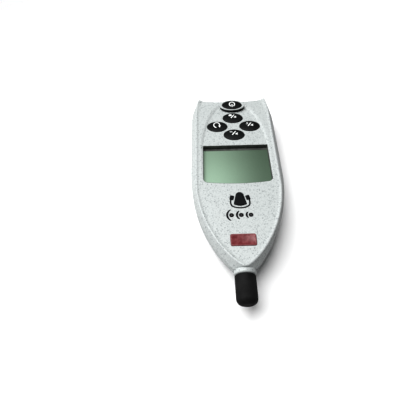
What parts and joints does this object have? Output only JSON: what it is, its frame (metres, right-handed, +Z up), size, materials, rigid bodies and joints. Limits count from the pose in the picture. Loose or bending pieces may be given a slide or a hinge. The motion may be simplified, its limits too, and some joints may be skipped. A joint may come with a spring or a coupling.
{
  "type": "handheld sound level meter",
  "caption": "Handheld meter with a boat-shaped speckled case, green display, oval black keys, a raised power key and a black-capped microphone tip.",
  "frame": {"origin": "middle of the footprint on the table, with the meter lying on its back", "axes": "+Z up out of the face, +Y from the microphone tip toward the power key, +X to the right when read with the tip nearest"},
  "size_m": [0.0656, 0.167, 0.0292],
  "materials": {
    "speckled_plastic": "pale grey-green moulded plastic with fine dark flecks, satin",
    "black_plastic": "black moulded plastic, satin",
    "key_rubber": "black key rubber, smooth and slightly glossy",
    "cap_rubber": "black rubber, matt",
    "clear_acrylic": "clear polished acrylic",
    "display_glass": "green reflective liquid crystal cell under gloss glass",
    "light_guide": "clouded clear plastic",
    "circuit_board": "green solder mask on glass fibre laminate",
    "chip_black": "black moulding compound",
    "switch_plastic": "dark grey moulded plastic",
    "lamp_body": "clouded epoxy",
    "badge_red": "dark red moulded plastic, semi-gloss",
    "microphone_metal": "turned nickel-plated metal",
    "cell_jacket": null,
    "contact_nickel": "nickel-plated spring metal",
    "screw_steel": "zinc-plated steel",
    "contact_rubber": "grey conductive silicone rubber and lead jacket"
  },
  "bodies": {
    "case": {"front_shell": "speckled_plastic", "rear_shell": "speckled_plastic", "tip_collar": "speckled_plastic", "display_bezel": "black_plastic", "microphone_tube": "black_plastic", "battery_frame": "black_plastic", "display_window": "clear_acrylic", "display_cell": "display_glass", "backlight": "light_guide", "light_guide_1": "light_guide", "light_guide_2": "light_guide", "light_guide_3": "light_guide", "main_board": "circuit_board", "processor_chip": "chip_black", "amplifier_chip": "chip_black", "power_switch": "switch_plastic", "switch_upper": "switch_plastic", "switch_left": "switch_plastic", "switch_right": "switch_plastic", "switch_lower": "switch_plastic", "lamp_1": "lamp_body", "lamp_2": "lamp_body", "lamp_3": "lamp_body", "badge": "badge_red", "microphone_capsule": "microphone_metal", "battery_cell_1": "cell_jacket", "battery_cell_2": "cell_jacket", "contact_plate_near": "contact_nickel", "contact_plate_far": "contact_nickel", "contact_spring_1": "contact_nickel", "contact_spring_2": "contact_nickel", "case_screw_1": "screw_steel", "case_screw_2": "screw_steel", "case_screw_3": "screw_steel", "case_screw_4": "screw_steel", "display_strip_far": "contact_rubber", "display_strip_near": "contact_rubber", "microphone_lead": "contact_rubber"},
    "power_key": {"power_key": "key_rubber"},
    "upper_key": {"key_upper": "key_rubber"},
    "left_key": {"key_left": "key_rubber"},
    "right_key": {"key_right": "key_rubber"},
    "lower_key": {"key_lower": "key_rubber"},
    "tip_cover": {"tip_cap": "cap_rubber"},
    "door": {"battery_door": "speckled_plastic"}
  },
  "joints": [
    {"name": "power_key_press", "type": "slide", "parent": "case", "child": "power_key", "axis": [0, 0, -1], "range_m": [0, 0.0008], "stiffness_N_per_m": 1500},
    {"name": "upper_key_press", "type": "slide", "parent": "case", "child": "upper_key", "axis": [0, 0, -1], "range_m": [0, 0.0008], "stiffness_N_per_m": 1500},
    {"name": "left_key_press", "type": "slide", "parent": "case", "child": "left_key", "axis": [0, 0, -1], "range_m": [0, 0.0008], "stiffness_N_per_m": 1500},
    {"name": "right_key_press", "type": "slide", "parent": "case", "child": "right_key", "axis": [0, 0, -1], "range_m": [0, 0.0008], "stiffness_N_per_m": 1500},
    {"name": "lower_key_press", "type": "slide", "parent": "case", "child": "lower_key", "axis": [0, 0, -1], "range_m": [0, 0.0008], "stiffness_N_per_m": 1500},
    {"name": "tip_cap_pull", "type": "slide", "parent": "case", "child": "tip_cover", "axis": [0, -1, 0], "range_m": [0, 0.018]},
    {"name": "battery_door_slide", "type": "slide", "parent": "case", "child": "door", "axis": [0, 1, 0], "range_m": [0, 0.065]}
  ]
}
